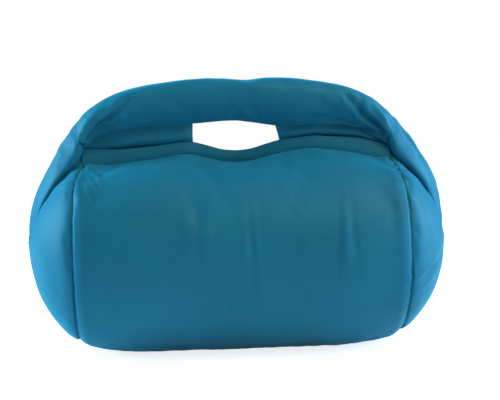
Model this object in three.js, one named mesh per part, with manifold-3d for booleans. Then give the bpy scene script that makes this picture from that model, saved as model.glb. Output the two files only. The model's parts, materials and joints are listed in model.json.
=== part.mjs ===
// Bolster pillow with a padded carry handle: a bead-filled roll in a zipped cover, a wadded handle
// roll sewn above it on a flat two-layer web with a hand hole, and a padded lobe down each end.
// Millimetres, +Z up. X runs along the roll, -Y is the front and +Y is the back with the zip.
// The origin is the middle of the flat that the roll rests on.

import * as THREE from 'three';
import { mergeVertices } from 'three/addons/utils/BufferGeometryUtils.js';
import { ParametricGeometry } from 'three/addons/geometries/ParametricGeometry.js';
import Module from 'manifold-3d';

const wasm = await Module();
wasm.setup();

// ---------------------------------------------------------------- driving dimensions

const ROLL_RADIUS = 104.5; // at mid length
const ROLL_AXIS_Z = 100.5; // the roll is pressed flat below z = 0
const SEAM_X = 172; // where the centre panels meet the end panels
const SEAM_RADIUS = 90;
const END_X = 223; // the crown of each end panel
const ROLL_SIDES = 32;
const BARREL_STATIONS = [0, 60, 110, 138, 157]; // distances from mid length, closer near the seam
const DOME_SHARES = [1, 0.86, 0.68, 0.46, 0.22, 0]; // of the seam's radius, from the seam to the crown

const COVER_THICK = 1.6; // stretch cover with its backing
const LINER_THICK = 1;
const LAYER_GAP = 0.4; // air between one layer and the next
const TOUCH_GAP = 0.3; // between pieces that meet edge to edge
const FAR = 400; // past the pillow in any direction, for cutting blocks

const FILL_SLIT_HALF_LENGTH = 60; // of the slit in the back of the inner bag
const FILL_SLIT_HALF_HEIGHT = 1;
const FILL_SLIT_Z = 60;

const HINGE_Z = 206; // the fold line of the web
const WEB_HALF_X = 163;
const WEB_THICK = 1.4; // each of the web's two layers
const WEB_BASE_Z = HINGE_Z + 3;
const HAND_HOLE_HALF_X = 46;
const HEM_THICK = 1.2;
const HEM_TOP_Z = 222;
const HEM_END_TOP_Z = 215;
const HEM_SHOULDER_X = 1.5 * HAND_HOLE_HALF_X; // where the hem starts to fall away
const HEM_DIP = 9; // under the hand hole
const WEB_TOP_STEPS = 5;

const HANDLE_TOP_Z = 289;
const HANDLE_UNDER_Z = 245;
const HANDLE_END_TOP_Z = 248;
const HANDLE_END_UNDER_Z = 217;
const HANDLE_DEPTH = 42; // front to back at mid length
const HANDLE_END_DEPTH = 30;
const HANDLE_DROOP_POWER = 3.2; // level at mid length, steep at the ends
const HANDLE_SIDES = 16;
const HANDLE_STATIONS = 16;

const LOBE_START_X = WEB_HALF_X - 15; // inside the handle's end, which the lobe is cut back to
const LOBE_START_Z = 238;
const LOBE_SHOULDER_X = 205;
const LOBE_SHOULDER_Z = 198;
const LOBE_FOOT_X = END_X - 1;
const LOBE_FOOT_Z = 117;
const LOBE_HALF = 16; // half of a lobe's thickness where it leaves the handle
const LOBE_FOOT_HALF = 3;
const LOBE_SIDES = 12;
const LOBE_STATIONS = 9;

const ZIP_ANGLE = THREE.MathUtils.degToRad(75); // from the roll's top towards the back
const ZIP_HALF_LENGTH = 130;
const ZIP_SLOT_HALF = 9; // half the height of the slot that the tapes close
const ZIP_SLOT_END = ZIP_HALF_LENGTH + 6;
const ZIP_SLOT_REACH = 6; // of the cut, either way through the cover
const TAPE_END = ZIP_HALF_LENGTH + 5;
const TAPE_THICK = 0.7;
const TAPE_TOP = -0.2; // below the cover's outer face
const CHAIN_HALF_GAP = 0.6; // half the gap that the slider's post runs in
const COIL_WIDTH = 2.1;
const COIL_HEIGHT = 1.6;
const COIL_SHOULDER = 0.5; // radius of its upper corners
const COIL_BOTTOM = TAPE_TOP + TOUCH_GAP;
const STOP_LENGTH = 3;
const STOP_HEIGHT = 2.2;
const STOP_HALF_WIDTH = CHAIN_HALF_GAP + COIL_WIDTH + 0.8;

const SLIDER_NOSE_X = 6; // half its length
const SLIDER_REST_X = ZIP_HALF_LENGTH - SLIDER_NOSE_X; // its nose reaches the closed end
const SLIDER_NOSE_HALF = 3;
const SLIDER_TAIL_HALF = 3.4;
const SLIDER_WAIST_HALF = 4.4; // where the plate's curved sides are drawn to
const SLIDER_PLATE_BOTTOM = 2; // clears the coils
const SLIDER_PLATE_TOP = 3;
const SLIDER_SOLE_THICK = 0.5; // the plate under the tapes
const SLIDER_OVERLAP = 0.2; // how far its joined parts run into each other
const POST_HALF_THICK = 0.25;
const POST_FROM_X = 1;
const POST_TO_X = 5;
const FLANGE_INNER = 3.05;
const FLANGE_OUTER = 3.35;
const FLANGE_BOTTOM = 0.4;
const BRIDGE_HALF = 4;
const BRIDGE_TOP = 6.8;
const BRIDGE_THICK = 1.2;
const BRIDGE_LEG = 1.3;
const BRIDGE_CORNER = 1.4;
const BRIDGE_WIDTH = 2;

const PULL_AXIS_Z = 4.5; // above the cover, where the pull's bar turns in the slider's bridge
const PULL_THICK = 1.4;
const PULL_BAR_HALF = 0.7; // the bar runs from this far before the axis to this far past it
const PULL_NECK_HALF = 2.6;
const PULL_NECK_X = -8; // where the arms reach the tab's full width
const PULL_HALF_WIDTH = 3.4;
const PULL_ROUND_X = -21; // centre of its round end
const PULL_EYE_X = -5.6; // far edge of the eye that the bridge passes through
const PULL_EYE_HALF = 1.5;
const PULL_HOLE_X = -20.5;
const PULL_HOLE_RADIUS = 1.4;

const LABEL_ANGLE = THREE.MathUtils.degToRad(118); // from the roll's top towards the back
const LABEL_LENGTH = 20;
const LABEL_HALF_WIDTH = 12;
const LABEL_THICK = 0.5;
const LABEL_CLEAR = 1; // from the end seam, both along and out of the roll

const FABRIC_TEAL = 0x1f7f9d;
const LINING_WHITE = 0xe4e6e6;
const BEAD_WHITE = 0xf4f4f2;
const ZIP_TEAL = 0x1a6d88;
const NICKEL = 0xb9bcc0;

// ---------------------------------------------------------------- solids and meshes

// A closed three.js geometry as a solid that can be joined and cut.
function toSolid(geometry) {
  const bare = geometry.clone();
  bare.deleteAttribute('normal');
  bare.deleteAttribute('uv');
  const merged = mergeVertices(bare, 1e-3);
  return new wasm.Manifold(new wasm.Mesh({
    numProp: 3,
    vertProperties: merged.attributes.position.array,
    triVerts: new Uint32Array(merged.index.array),
  }));
}

function toGeometry(solid) {
  const mesh = solid.getMesh();
  const geometry = new THREE.BufferGeometry();
  geometry.setAttribute('position', new THREE.BufferAttribute(mesh.vertProperties, 3));
  geometry.setIndex(new THREE.BufferAttribute(mesh.triVerts, 1));
  geometry.computeVertexNormals();
  return geometry;
}

// An axis-aligned block between two corners.
function block(low, high) {
  const size = new THREE.Vector3().subVectors(high, low);
  const centre = new THREE.Vector3().addVectors(high, low).multiplyScalar(0.5);
  return new THREE.BoxGeometry(size.x, size.y, size.z).translate(centre.x, centre.y, centre.z);
}

const materials = {
  fabric: new THREE.MeshStandardMaterial({ color: FABRIC_TEAL, roughness: 0.55, metalness: 0 }),
  lining: new THREE.MeshStandardMaterial({ color: LINING_WHITE, roughness: 0.9, metalness: 0 }),
  beads: new THREE.MeshStandardMaterial({ color: BEAD_WHITE, roughness: 0.8, metalness: 0 }),
  zip: new THREE.MeshStandardMaterial({ color: ZIP_TEAL, roughness: 0.5, metalness: 0 }),
  metal: new THREE.MeshStandardMaterial({ color: NICKEL, roughness: 0.3, metalness: 1 }),
};

function piece(name, geometry, material) {
  const mesh = new THREE.Mesh(geometry, material);
  mesh.name = name;
  return mesh;
}

// ---------------------------------------------------------------- the roll

// Radius of the roll at a distance x from mid length: nearly straight, then drawn in at the seams.
function rollRadius(x) {
  return ROLL_RADIUS - (ROLL_RADIUS - SEAM_RADIUS) * (Math.abs(x) / SEAM_X) ** 10;
}

// The whole roll with its domed ends, shrunk by inset all over and pressed flat where it rests.
function rollSolid(inset) {
  const barrel = BARREL_STATIONS.map((x) => [rollRadius(x) - inset, x]);
  const dome = DOME_SHARES.map((share) => [
    (SEAM_RADIUS - inset) * share,
    SEAM_X + (END_X - SEAM_X - inset) * (1 - share * share),
  ]);
  const half = [...barrel, ...dome];
  const mirrored = half.slice(1).reverse().map(([radius, x]) => [radius, -x]);
  const profile = [...mirrored, ...half].map(([radius, x]) => new THREE.Vector2(radius, x));
  const geometry = new THREE.LatheGeometry(profile, ROLL_SIDES);
  geometry.rotateZ(-Math.PI / 2).translate(0, 0, ROLL_AXIS_Z);
  const position = geometry.getAttribute('position');
  for (let i = 0; i < position.count; i += 1) {
    position.setZ(i, Math.max(position.getZ(i), inset));
  }
  return toSolid(geometry);
}

// Everything between two values of x.
function slice(fromX, toX) {
  return toSolid(block(new THREE.Vector3(fromX, -FAR, -FAR), new THREE.Vector3(toX, FAR, FAR)));
}

// The part of the roll behind its top seam and above the zip: the back panel's share of the cover.
function backSector(gap) {
  const shape = new THREE.Shape([
    new THREE.Vector2(gap, 0),
    new THREE.Vector2(FAR * Math.sin(ZIP_ANGLE), FAR * Math.cos(ZIP_ANGLE) + gap),
    new THREE.Vector2(FAR, FAR),
    new THREE.Vector2(gap, FAR),
  ]);
  const geometry = new THREE.ExtrudeGeometry(shape, { depth: 2 * SEAM_X, bevelEnabled: false });
  // The shape's x becomes Y and its y becomes Z.
  geometry.rotateX(Math.PI / 2).rotateZ(Math.PI / 2).translate(-SEAM_X, 0, ROLL_AXIS_Z);
  return toSolid(geometry);
}

// The opening in the cover that the zip closes.
function zipSlot() {
  const slot = block(
    new THREE.Vector3(-ZIP_SLOT_END, -ZIP_SLOT_HALF, -ZIP_SLOT_REACH),
    new THREE.Vector3(ZIP_SLOT_END, ZIP_SLOT_HALF, ZIP_SLOT_REACH),
  );
  return toSolid(slot.applyMatrix4(zipFrame()));
}

function coverPieces() {
  const shell = rollSolid(0).subtract(rollSolid(COVER_THICK));
  const seamEdge = SEAM_X - TOUCH_GAP / 2;
  const centre = shell.intersect(slice(-seamEdge, seamEdge)).subtract(zipSlot());
  const back = centre.intersect(backSector(TOUCH_GAP));
  const front = centre.subtract(backSector(-TOUCH_GAP));
  const endRight = shell.intersect(slice(SEAM_X + TOUCH_GAP / 2, FAR));
  const endLeft = shell.intersect(slice(-FAR, -SEAM_X - TOUCH_GAP / 2));
  return [
    piece('front_panel', toGeometry(front), materials.fabric),
    piece('back_panel', toGeometry(back), materials.fabric),
    piece('end_panel_left', toGeometry(endLeft), materials.fabric),
    piece('end_panel_right', toGeometry(endRight), materials.fabric),
  ];
}

// The inner bag, with the slit that it is filled through, and the beads it holds.
function linerAndBeads() {
  const outside = COVER_THICK + LAYER_GAP;
  const inside = outside + LINER_THICK;
  const slit = block(
    new THREE.Vector3(-FILL_SLIT_HALF_LENGTH, 0, FILL_SLIT_Z - FILL_SLIT_HALF_HEIGHT),
    new THREE.Vector3(FILL_SLIT_HALF_LENGTH, FAR, FILL_SLIT_Z + FILL_SLIT_HALF_HEIGHT),
  );
  const liner = rollSolid(outside).subtract(rollSolid(inside)).subtract(toSolid(slit));
  return [
    piece('inner_liner', toGeometry(liner), materials.lining),
    piece('bead_fill', toGeometry(rollSolid(inside + LAYER_GAP)), materials.beads),
  ];
}

// ---------------------------------------------------------------- handle roll

// Share of the way from mid length to the web's end, eased so that the handle droops at its ends.
function droop(x) {
  return (Math.abs(x) / WEB_HALF_X) ** HANDLE_DROOP_POWER;
}

function handleSection(x) {
  const share = droop(x);
  const top = THREE.MathUtils.lerp(HANDLE_TOP_Z, HANDLE_END_TOP_Z, share);
  const under = THREE.MathUtils.lerp(HANDLE_UNDER_Z, HANDLE_END_UNDER_Z, share);
  const depth = THREE.MathUtils.lerp(HANDLE_DEPTH, HANDLE_END_DEPTH, share);
  return { centreZ: (top + under) / 2, halfHeight: (top - under) / 2, halfDepth: depth / 2 };
}

// A closed soft tube: sectionAt(share) gives each ring's centre, two half axes and their directions.
function softTube(sectionAt, stations, sides) {
  const rows = stations + 2;
  const surface = (u, v, target) => {
    const row = Math.round(v * rows);
    const share = THREE.MathUtils.clamp((row - 1) / stations, 0, 1);
    const cap = row === 0 || row === rows; // the end rows close on their centre
    const { centre, first, second } = sectionAt(share);
    const turn = u * 2 * Math.PI;
    target.copy(centre);
    if (!cap) {
      target.addScaledVector(first, Math.cos(turn)).addScaledVector(second, Math.sin(turn));
    }
  };
  return toSolid(new ParametricGeometry(surface, sides, rows));
}

function handleTube(inset, halfLength) {
  return softTube((share) => {
    const x = THREE.MathUtils.lerp(-halfLength, halfLength, share);
    const { centreZ, halfHeight, halfDepth } = handleSection(x);
    return {
      centre: new THREE.Vector3(x, 0, centreZ),
      first: new THREE.Vector3(0, halfDepth - inset, 0),
      second: new THREE.Vector3(0, 0, halfHeight - inset),
    };
  }, HANDLE_STATIONS, HANDLE_SIDES);
}

function handleRoll() {
  const openEnds = WEB_HALF_X + 1; // the bore runs out past both ends of the sleeve
  const sleeve = handleTube(0, WEB_HALF_X).subtract(handleTube(COVER_THICK, openEnds));
  const core = handleTube(COVER_THICK + LAYER_GAP, WEB_HALF_X);
  return [
    piece('handle_sleeve', toGeometry(sleeve), materials.fabric),
    piece('handle_core', toGeometry(core), materials.lining),
  ];
}

// ---------------------------------------------------------------- web and hems

// A sheet of fabric standing in the XZ plane, with its near face at y. The shape's y is Z.
function standingSheet(shape, y, thick) {
  const geometry = new THREE.ExtrudeGeometry(shape, {
    depth: thick, bevelEnabled: false, curveSegments: 8,
  });
  return geometry.rotateX(Math.PI / 2).translate(0, y + thick, 0);
}

// Outline of the web on one side of the hand hole, up to the underside of the handle roll.
function webOutline(side) {
  const outline = [new THREE.Vector2(side * HAND_HOLE_HALF_X, WEB_BASE_Z)];
  for (let i = 0; i <= WEB_TOP_STEPS; i += 1) {
    const x = THREE.MathUtils.lerp(HAND_HOLE_HALF_X, WEB_HALF_X, i / WEB_TOP_STEPS);
    const { centreZ, halfHeight } = handleSection(x);
    outline.push(new THREE.Vector2(side * x, centreZ - halfHeight - TOUCH_GAP));
  }
  outline.push(new THREE.Vector2(side * WEB_HALF_X, WEB_BASE_Z));
  return new THREE.Shape(outline);
}

function webLayers() {
  const near = TOUCH_GAP / 2;
  const layers = [];
  for (const [sideName, side] of [['left', -1], ['right', 1]]) {
    const front = standingSheet(webOutline(side), -near - WEB_THICK, WEB_THICK);
    const back = standingSheet(webOutline(side), near, WEB_THICK);
    layers.push(piece(`web_front_${sideName}`, front, materials.fabric));
    layers.push(piece(`web_back_${sideName}`, back, materials.fabric));
  }
  return layers;
}

// The hem's upper edge is level beside the hand hole, dips under it and falls away to the ends.
function hemOutline() {
  const outline = new THREE.Shape();
  outline.moveTo(-WEB_HALF_X, WEB_BASE_Z);
  outline.lineTo(WEB_HALF_X, WEB_BASE_Z);
  outline.lineTo(WEB_HALF_X, HEM_END_TOP_Z);
  outline.lineTo(HEM_SHOULDER_X, HEM_TOP_Z);
  outline.lineTo(HAND_HOLE_HALF_X, HEM_TOP_Z);
  outline.quadraticCurveTo(0, HEM_TOP_Z - 2 * HEM_DIP, -HAND_HOLE_HALF_X, HEM_TOP_Z);
  outline.lineTo(-HEM_SHOULDER_X, HEM_TOP_Z);
  outline.lineTo(-WEB_HALF_X, HEM_END_TOP_Z);
  return outline;
}

function hemBands() {
  const clear = TOUCH_GAP / 2 + WEB_THICK + TOUCH_GAP;
  const front = standingSheet(hemOutline(), -clear - HEM_THICK, HEM_THICK);
  const back = standingSheet(hemOutline(), clear, HEM_THICK);
  return [
    piece('hem_band_front', front, materials.fabric),
    piece('hem_band_back', back, materials.fabric),
  ];
}

// ---------------------------------------------------------------- end lobes

function largestBody(solid) {
  return solid.decompose().sort((a, b) => b.volume() - a.volume())[0];
}

// Each lobe carries on from the handle's end, over the top of the end panel, down to its crown.
function lobePieces(sideName, side) {
  const route = new THREE.QuadraticBezierCurve3(
    new THREE.Vector3(side * LOBE_START_X, 0, LOBE_START_Z),
    new THREE.Vector3(side * LOBE_SHOULDER_X, 0, LOBE_SHOULDER_Z),
    new THREE.Vector3(side * LOBE_FOOT_X, 0, LOBE_FOOT_Z),
  );
  const tube = (inset) => softTube((share) => {
    const half = THREE.MathUtils.lerp(LOBE_HALF, LOBE_FOOT_HALF, share * share) - inset;
    const along = route.getTangent(share);
    const across = new THREE.Vector3(-along.z, 0, along.x).multiplyScalar(half);
    return { centre: route.getPoint(share), first: new THREE.Vector3(0, half, 0), second: across };
  }, LOBE_STATIONS, LOBE_SIDES);
  const startX = WEB_HALF_X + LAYER_GAP;
  const beyondHandle = side > 0 ? slice(startX, FAR) : slice(-FAR, -startX);
  const clearOfRoll = rollSolid(-TOUCH_GAP);
  const keep = (solid) => largestBody(solid.subtract(clearOfRoll).intersect(beyondHandle));
  const skin = keep(tube(0).subtract(tube(COVER_THICK)));
  const wadding = keep(tube(COVER_THICK + LAYER_GAP));
  return [
    piece(`end_lobe_${sideName}`, toGeometry(skin), materials.fabric),
    piece(`lobe_wadding_${sideName}`, toGeometry(wadding), materials.lining),
  ];
}

// ---------------------------------------------------------------- zip

// The zip's own frame: X along the zip, +Z out of the roll, +Y down the roll's back.
function zipFrame() {
  const turn = new THREE.Matrix4().makeRotationX(-ZIP_ANGLE);
  const place = new THREE.Matrix4().makeTranslation(
    0,
    ROLL_RADIUS * Math.sin(ZIP_ANGLE),
    ROLL_AXIS_Z + ROLL_RADIUS * Math.cos(ZIP_ANGLE),
  );
  return place.multiply(turn);
}

function zipTape(side) {
  const edges = [side * CHAIN_HALF_GAP, side * (ZIP_SLOT_HALF - TOUCH_GAP)];
  return block(
    new THREE.Vector3(-TAPE_END, Math.min(...edges), TAPE_TOP - TAPE_THICK),
    new THREE.Vector3(TAPE_END, Math.max(...edges), TAPE_TOP),
  );
}

// One side's coil, as a round-shouldered rail of its outer size lying on its tape.
function zipCoil(side) {
  const half = COIL_WIDTH / 2;
  const cornerX = half - COIL_SHOULDER;
  const cornerY = COIL_HEIGHT - COIL_SHOULDER;
  const rail = new THREE.Shape();
  rail.moveTo(-half, 0);
  rail.lineTo(half, 0);
  rail.absarc(cornerX, cornerY, COIL_SHOULDER, 0, Math.PI / 2, false);
  rail.absarc(-cornerX, cornerY, COIL_SHOULDER, Math.PI / 2, Math.PI, false);
  const length = 2 * ZIP_HALF_LENGTH;
  const geometry = new THREE.ExtrudeGeometry(rail, {
    depth: length, bevelEnabled: false, curveSegments: 3,
  });
  geometry.rotateX(Math.PI / 2).rotateZ(Math.PI / 2);
  return geometry.translate(-length / 2, side * (CHAIN_HALF_GAP + half), COIL_BOTTOM);
}

// A crimped metal stop over both coils at one end of the chain.
function zipStop(x) {
  return block(
    new THREE.Vector3(x, -STOP_HALF_WIDTH, COIL_BOTTOM),
    new THREE.Vector3(x + STOP_LENGTH, STOP_HALF_WIDTH, COIL_BOTTOM + STOP_HEIGHT),
  );
}

// One of the slider's two plates, narrower at the nose, with its lower face at z.
function sliderPlate(z, thick) {
  const plate = new THREE.Shape();
  plate.moveTo(SLIDER_NOSE_X, -SLIDER_NOSE_HALF);
  plate.lineTo(SLIDER_NOSE_X, SLIDER_NOSE_HALF);
  plate.quadraticCurveTo(SLIDER_NOSE_X / 2, SLIDER_WAIST_HALF, -SLIDER_NOSE_X, SLIDER_TAIL_HALF);
  plate.lineTo(-SLIDER_NOSE_X, -SLIDER_TAIL_HALF);
  plate.quadraticCurveTo(SLIDER_NOSE_X / 2, -SLIDER_WAIST_HALF, SLIDER_NOSE_X, -SLIDER_NOSE_HALF);
  const geometry = new THREE.ExtrudeGeometry(plate, {
    depth: thick, bevelEnabled: false, curveSegments: 6,
  });
  return geometry.translate(0, 0, z);
}

// The side wall that keeps the coil in, down one edge of the upper plate.
function sliderFlange(side) {
  const edges = [side * FLANGE_INNER, side * FLANGE_OUTER];
  const halfLength = SLIDER_NOSE_X - 1;
  return block(
    new THREE.Vector3(-halfLength, Math.min(...edges), FLANGE_BOTTOM),
    new THREE.Vector3(halfLength, Math.max(...edges), SLIDER_PLATE_BOTTOM + SLIDER_OVERLAP),
  );
}

// The arch on the upper plate that holds the pull's bar.
function sliderBridge() {
  const foot = SLIDER_PLATE_TOP - SLIDER_OVERLAP;
  const cornerX = BRIDGE_HALF - BRIDGE_CORNER;
  const cornerY = BRIDGE_TOP - BRIDGE_CORNER;
  const innerX = BRIDGE_HALF - BRIDGE_LEG;
  const innerY = BRIDGE_TOP - BRIDGE_THICK;
  const bridge = new THREE.Shape();
  bridge.moveTo(-BRIDGE_HALF, foot);
  bridge.lineTo(-BRIDGE_HALF, cornerY);
  bridge.absarc(-cornerX, cornerY, BRIDGE_CORNER, Math.PI, Math.PI / 2, true);
  bridge.lineTo(cornerX, BRIDGE_TOP);
  bridge.absarc(cornerX, cornerY, BRIDGE_CORNER, Math.PI / 2, 0, true);
  bridge.lineTo(BRIDGE_HALF, foot);
  bridge.lineTo(innerX, foot);
  bridge.lineTo(innerX, innerY);
  bridge.lineTo(-innerX, innerY);
  bridge.lineTo(-innerX, foot);
  const arch = new THREE.ExtrudeGeometry(bridge, {
    depth: BRIDGE_WIDTH, bevelEnabled: false, curveSegments: 4,
  });
  return arch.rotateX(Math.PI / 2).translate(0, BRIDGE_WIDTH / 2, 0);
}

// The slider: two plates, the flanges and the bridge on the upper one, and a post between the coils.
function sliderBody() {
  const soleTop = TAPE_TOP - TAPE_THICK - TOUCH_GAP;
  const post = block(
    new THREE.Vector3(POST_FROM_X, -POST_HALF_THICK, soleTop - SLIDER_OVERLAP),
    new THREE.Vector3(POST_TO_X, POST_HALF_THICK, SLIDER_PLATE_BOTTOM + SLIDER_OVERLAP),
  );
  const parts = [
    sliderPlate(SLIDER_PLATE_BOTTOM, SLIDER_PLATE_TOP - SLIDER_PLATE_BOTTOM),
    sliderPlate(soleTop - SLIDER_SOLE_THICK, SLIDER_SOLE_THICK),
    post,
    sliderFlange(-1),
    sliderFlange(1),
    sliderBridge(),
  ];
  return parts.map(toSolid).reduce((whole, part) => whole.add(part));
}

// The pull tab at rest: it lies along the closed zip, its bar through the slider's bridge.
function pullTab() {
  const outline = new THREE.Shape();
  outline.moveTo(PULL_BAR_HALF, -PULL_NECK_HALF);
  outline.lineTo(PULL_BAR_HALF, PULL_NECK_HALF);
  outline.lineTo(PULL_NECK_X, PULL_HALF_WIDTH);
  outline.lineTo(PULL_ROUND_X, PULL_HALF_WIDTH);
  outline.absarc(PULL_ROUND_X, 0, PULL_HALF_WIDTH, Math.PI / 2, (3 * Math.PI) / 2, false);
  outline.lineTo(PULL_NECK_X, -PULL_HALF_WIDTH);
  const eye = new THREE.Path([
    new THREE.Vector2(-PULL_BAR_HALF, -PULL_EYE_HALF),
    new THREE.Vector2(PULL_EYE_X, -PULL_EYE_HALF),
    new THREE.Vector2(PULL_EYE_X, PULL_EYE_HALF),
    new THREE.Vector2(-PULL_BAR_HALF, PULL_EYE_HALF),
  ]);
  const hole = new THREE.Path();
  hole.absarc(PULL_HOLE_X, 0, PULL_HOLE_RADIUS, 0, 2 * Math.PI, true);
  outline.holes.push(eye, hole);
  const tab = new THREE.ExtrudeGeometry(outline, {
    depth: PULL_THICK, bevelEnabled: false, curveSegments: 6,
  });
  return tab.translate(0, 0, PULL_AXIS_Z - PULL_THICK / 2);
}

function zipGroup() {
  const group = new THREE.Group();
  group.applyMatrix4(zipFrame());
  group.add(
    piece('zip_tape_upper', zipTape(-1), materials.zip),
    piece('zip_tape_lower', zipTape(1), materials.zip),
    piece('zip_coil_upper', zipCoil(-1), materials.zip),
    piece('zip_coil_lower', zipCoil(1), materials.zip),
    piece('zip_stop_closed_end', zipStop(ZIP_HALF_LENGTH + TOUCH_GAP), materials.metal),
    piece('zip_stop_open_end', zipStop(-ZIP_HALF_LENGTH - TOUCH_GAP - STOP_LENGTH), materials.metal),
  );
  const slider = new THREE.Group();
  slider.position.set(SLIDER_REST_X, 0, 0);
  slider.add(
    piece('zip_slider', toGeometry(sliderBody()), materials.metal),
    piece('zip_pull', pullTab(), materials.metal),
  );
  group.add(slider);
  return group;
}

// ---------------------------------------------------------------- care label

// A small blank tape caught in the right end seam, low on the back, lying on the end panel.
function careLabel() {
  const slope = Math.atan2(SEAM_RADIUS, 2 * (END_X - SEAM_X)); // of the end panel at its seam
  const label = block(
    new THREE.Vector3(0, -LABEL_HALF_WIDTH, 0),
    new THREE.Vector3(LABEL_LENGTH, LABEL_HALF_WIDTH, LABEL_THICK),
  );
  label.rotateY(slope).translate(SEAM_X + LABEL_CLEAR, 0, SEAM_RADIUS + LABEL_CLEAR);
  label.rotateX(-LABEL_ANGLE).translate(0, 0, ROLL_AXIS_Z);
  return piece('care_label', label, materials.lining);
}

// ---------------------------------------------------------------- the whole pillow

const pillow = new THREE.Group();
pillow.add(
  ...coverPieces(),
  ...linerAndBeads(),
  ...handleRoll(),
  ...webLayers(),
  ...hemBands(),
  ...lobePieces('left', -1),
  ...lobePieces('right', 1),
  zipGroup(),
  careLabel(),
);

export default pillow;
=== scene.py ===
"""Bolster pillow with a padded carry handle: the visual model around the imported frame.

Shapes are worked out in millimetres as arrays of points and turned into metres when a mesh is made.
X runs along the roll, the front is at -Y, Z is up, and the origin is under the middle of the roll.
"""

import json
import math

import bmesh
import bpy
import numpy as np
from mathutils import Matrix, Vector, noise

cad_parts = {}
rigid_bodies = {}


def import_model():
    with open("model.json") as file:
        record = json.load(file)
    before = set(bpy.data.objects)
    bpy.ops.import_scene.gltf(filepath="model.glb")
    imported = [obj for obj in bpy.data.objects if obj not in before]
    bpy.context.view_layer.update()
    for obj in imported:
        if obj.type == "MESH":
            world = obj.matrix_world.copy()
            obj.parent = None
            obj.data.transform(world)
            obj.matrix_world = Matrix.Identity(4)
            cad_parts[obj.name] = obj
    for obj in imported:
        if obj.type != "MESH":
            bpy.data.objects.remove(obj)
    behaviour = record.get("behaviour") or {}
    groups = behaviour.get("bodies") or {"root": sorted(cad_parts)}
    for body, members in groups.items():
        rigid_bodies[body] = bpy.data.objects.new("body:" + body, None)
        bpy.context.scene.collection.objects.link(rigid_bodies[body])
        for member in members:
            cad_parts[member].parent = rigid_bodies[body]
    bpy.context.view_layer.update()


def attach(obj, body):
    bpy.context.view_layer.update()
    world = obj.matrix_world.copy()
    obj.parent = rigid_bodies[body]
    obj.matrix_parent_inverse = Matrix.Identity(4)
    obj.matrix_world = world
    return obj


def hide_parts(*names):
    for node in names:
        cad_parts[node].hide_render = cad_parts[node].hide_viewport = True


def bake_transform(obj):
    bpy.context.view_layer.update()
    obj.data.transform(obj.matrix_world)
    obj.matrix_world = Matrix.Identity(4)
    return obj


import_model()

MM = 0.001

# ---------------------------------------------------------------- driving sizes, in mm

SEAM_X = 172  # where the centre panels meet the end panels, halfway up
SEAM_RADIUS = 94
END_X = 225  # the crown of each end panel
MID_AXIS_Z = 100.5
SEAM_AXIS_Z = 106
CROWN_Z = 117
PINCH_X = 162  # where handle, lobe, hem and end seam all meet
HOLE_HALF = 46  # half the hand hole's width
FABRIC = 1.5  # thickness of the padded cover
ZIP_ANGLE = 75  # degrees from the roll's top towards the back
ZIP_HALF = 130
ZIP_RADIUS = 104.5
SLOT_ANGLE = 3.9  # half the slot that the zip closes, in degrees
SLOT_HALF = 134


def through(*points):
    """A smooth function of |x| through a few (x, value) points."""
    at, value = np.array(points, float).T
    slope = np.gradient(value, at)

    def look(x):
        x = np.clip(np.abs(x), at[0], at[-1])
        i = np.clip(np.searchsorted(at, x) - 1, 0, len(at) - 2)
        gap = at[i + 1] - at[i]
        t = (x - at[i]) / gap
        rise = (3 - 2 * t) * t * t
        bend_in = t * (1 - t) ** 2 * gap * slope[i]
        bend_out = t * t * (t - 1) * gap * slope[i + 1]
        return value[i] + (value[i + 1] - value[i]) * rise + bend_in + bend_out

    return look


roll_radius = through((0, 104.5), (60, 104.4), (124, 103.4), (150, 99.5), (163, 96.5), (172, 94))
handle_top = through(
    (0, 289.3), (46, 288), (72, 285.5), (97, 282), (123, 276), (136, 270.5),
    (149, 263.4), (162, 253.5), (171, 244.5),
)
handle_under = through(
    (0, 245), (50, 241), (100, 238), (130, 232.5), (150, 223), (160, 217.5), (165, 214.5),
)
even_hem_top = through(
    (0, 212), (16, 213.6), (32, 218.3), (49, 222.5), (73, 223), (102, 221), (135, 219), (165, 216.5),
)
even_hem_foot = through(
    (0, 199.8), (18, 201.6), (36, 206.8), (53, 210.2), (78, 210), (102, 207), (130, 204), (165, 202),
)
hem_foot_out = through((0, 6.5), (50, 9), (110, 13), (150, 14.5), (165, 16))  # distance from the middle plane
hem_top_out = through((0, 3.4), (36, 3.8), (60, 5), (85, 6.6), (115, 7.4), (140, 6.6), (155, 5.6), (165, 4.5))


def bump(distance, width):
    return np.exp(-((distance / width) ** 2))


def step(low, high, value):
    t = np.clip((value - low) / (high - low), 0, 1)
    return t * t * (3 - 2 * t)


def hem_tilt(x):
    """How far the hem is pulled up on the right of the hand hole and down on its left."""
    return (4.5 if x > 0 else -3) * step(44, 90, abs(x)) * (1 - step(125, 160, abs(x)))


def hem_top(x):
    return even_hem_top(x) + hem_tilt(x)


def hem_foot(x):
    return even_hem_foot(x) + hem_tilt(x)


# ---------------------------------------------------------------- mesh helpers


def new_object(name, mesh):
    piece = bpy.data.objects.new(name, mesh)
    bpy.context.scene.collection.objects.link(piece)
    return piece


def mesh_piece(name, points, faces, smooth=True):
    """A piece from points in mm and lists of point numbers."""
    mesh = bpy.data.meshes.new(name)
    mesh.from_pydata((np.asarray(points) * MM).tolist(), [], faces)
    mesh.validate()
    for face in mesh.polygons:
        face.use_smooth = smooth
    return new_object(name, mesh)


def grid_faces(rows, columns, around):
    """Quads of a grid of points, closed around its columns if asked."""
    faces = []
    for i in range(rows - 1):
        for j in range(columns if around else columns - 1):
            k = (j + 1) % columns
            faces.append((i * columns + j, i * columns + k, (i + 1) * columns + k, (i + 1) * columns + j))
    return faces


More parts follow.
